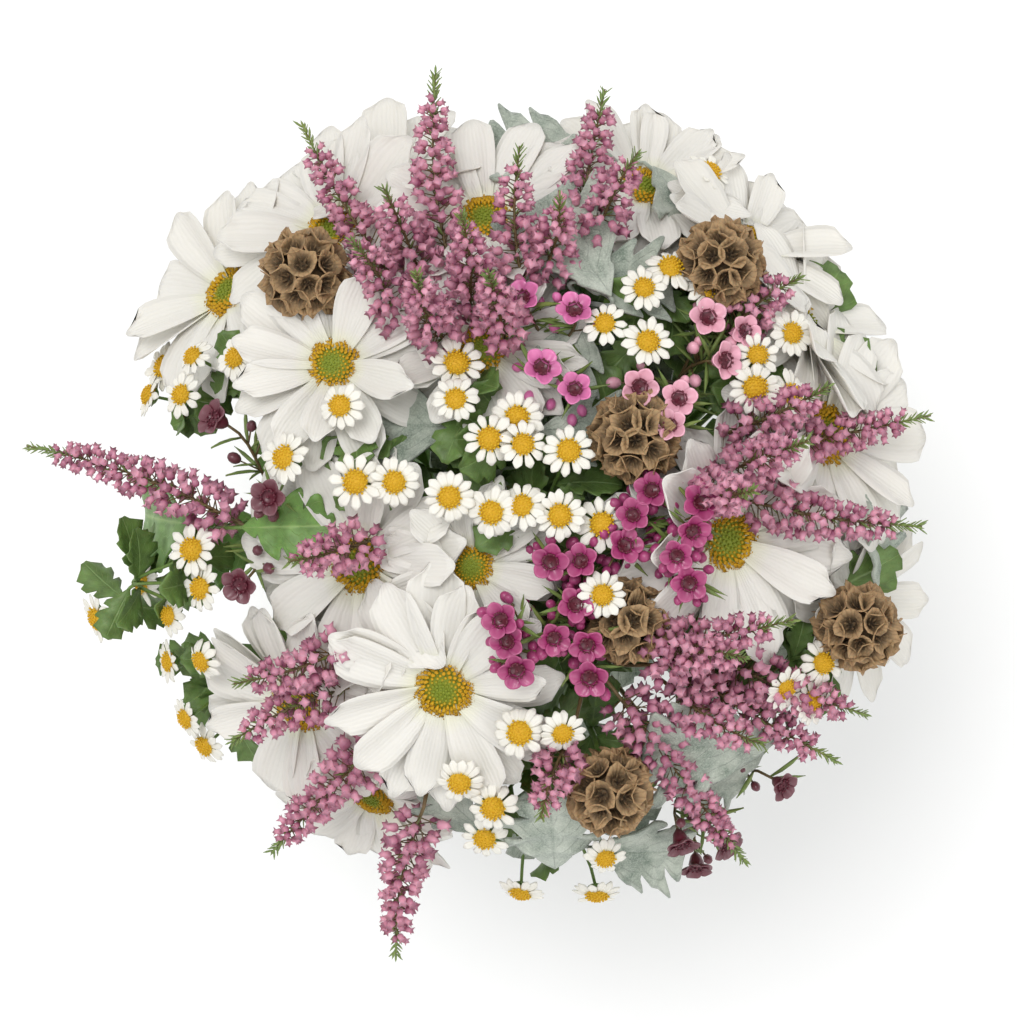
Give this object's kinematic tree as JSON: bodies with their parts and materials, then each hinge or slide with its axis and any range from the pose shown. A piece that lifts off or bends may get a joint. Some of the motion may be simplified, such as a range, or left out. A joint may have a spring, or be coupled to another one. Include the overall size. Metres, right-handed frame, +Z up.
{
  "type": "chrysanthemum bouquet",
  "caption": "Hand-tied round bouquet of white daisy chrysanthemums, heather, feverfew, waxflower, starflower pods and dusty miller, standing on its splayed stems.",
  "frame": {"origin": "middle of the bunch seen from above, on the surface that the cut stem ends stand on", "axes": "+Z up along the bunch, from the cut ends to the flowers; +X and +Y level"},
  "size_m": [0.315, 0.3088, 0.363],
  "materials": {
    "white_petals": "matte",
    "golden_disc": "matte",
    "heather_bells": "matte",
    "feverfew_petals": "matte",
    "waxflower_pink": "satin",
    "papery_pod": "matte",
    "silver_felt": "matte",
    "green_leaf": "satin",
    "green_stem": "satin",
    "woody_stem": "matte",
    "jute_twine": "matte"
  },
  "bodies": {
    "root": {"chrysanthemum_01": "white_petals", "chrysanthemum_02": "white_petals", "chrysanthemum_03": "white_petals", "chrysanthemum_04": "white_petals", "chrysanthemum_05": "white_petals", "chrysanthemum_06": "white_petals", "chrysanthemum_07": "white_petals", "chrysanthemum_08": "white_petals", "chrysanthemum_09": "white_petals", "chrysanthemum_10": "white_petals", "chrysanthemum_11": "white_petals", "chrysanthemum_12": "white_petals", "chrysanthemum_13": "white_petals", "chrysanthemum_14": "white_petals", "chrysanthemum_15": "white_petals", "chrysanthemum_16": "white_petals", "chrysanthemum_17": "white_petals", "heather_01": "heather_bells", "heather_02": "heather_bells", "heather_03": "heather_bells", "heather_04": "heather_bells", "heather_05": "heather_bells", "heather_06": "heather_bells", "heather_07": "heather_bells", "heather_08": "heather_bells", "heather_09": "heather_bells", "heather_10": "heather_bells", "heather_11": "heather_bells", "heather_12": "heather_bells", "heather_13": "heather_bells", "heather_14": "heather_bells", "feverfew_01": "feverfew_petals", "feverfew_02": "feverfew_petals", "feverfew_03": "feverfew_petals", "feverfew_04": "feverfew_petals", "feverfew_05": "feverfew_petals", "feverfew_06": "feverfew_petals", "feverfew_07": "feverfew_petals", "feverfew_08": "feverfew_petals", "feverfew_09": "feverfew_petals", "feverfew_10": "feverfew_petals", "waxflower_01": "waxflower_pink", "waxflower_02": "waxflower_pink", "waxflower_03": "waxflower_pink", "waxflower_04": "waxflower_pink", "waxflower_05": "waxflower_pink", "waxflower_06": "waxflower_pink", "starflower_pod_01": "papery_pod", "starflower_pod_02": "papery_pod", "starflower_pod_03": "papery_pod", "starflower_pod_04": "papery_pod", "starflower_pod_05": "papery_pod", "starflower_pod_06": "papery_pod", "dusty_miller_01": "silver_felt", "dusty_miller_02": "silver_felt", "dusty_miller_03": "silver_felt", "dusty_miller_04": "silver_felt", "dusty_miller_05": "silver_felt", "green_leaf_01": "green_leaf", "twine_binding": "jute_twine"}
  },
  "joints": []
}
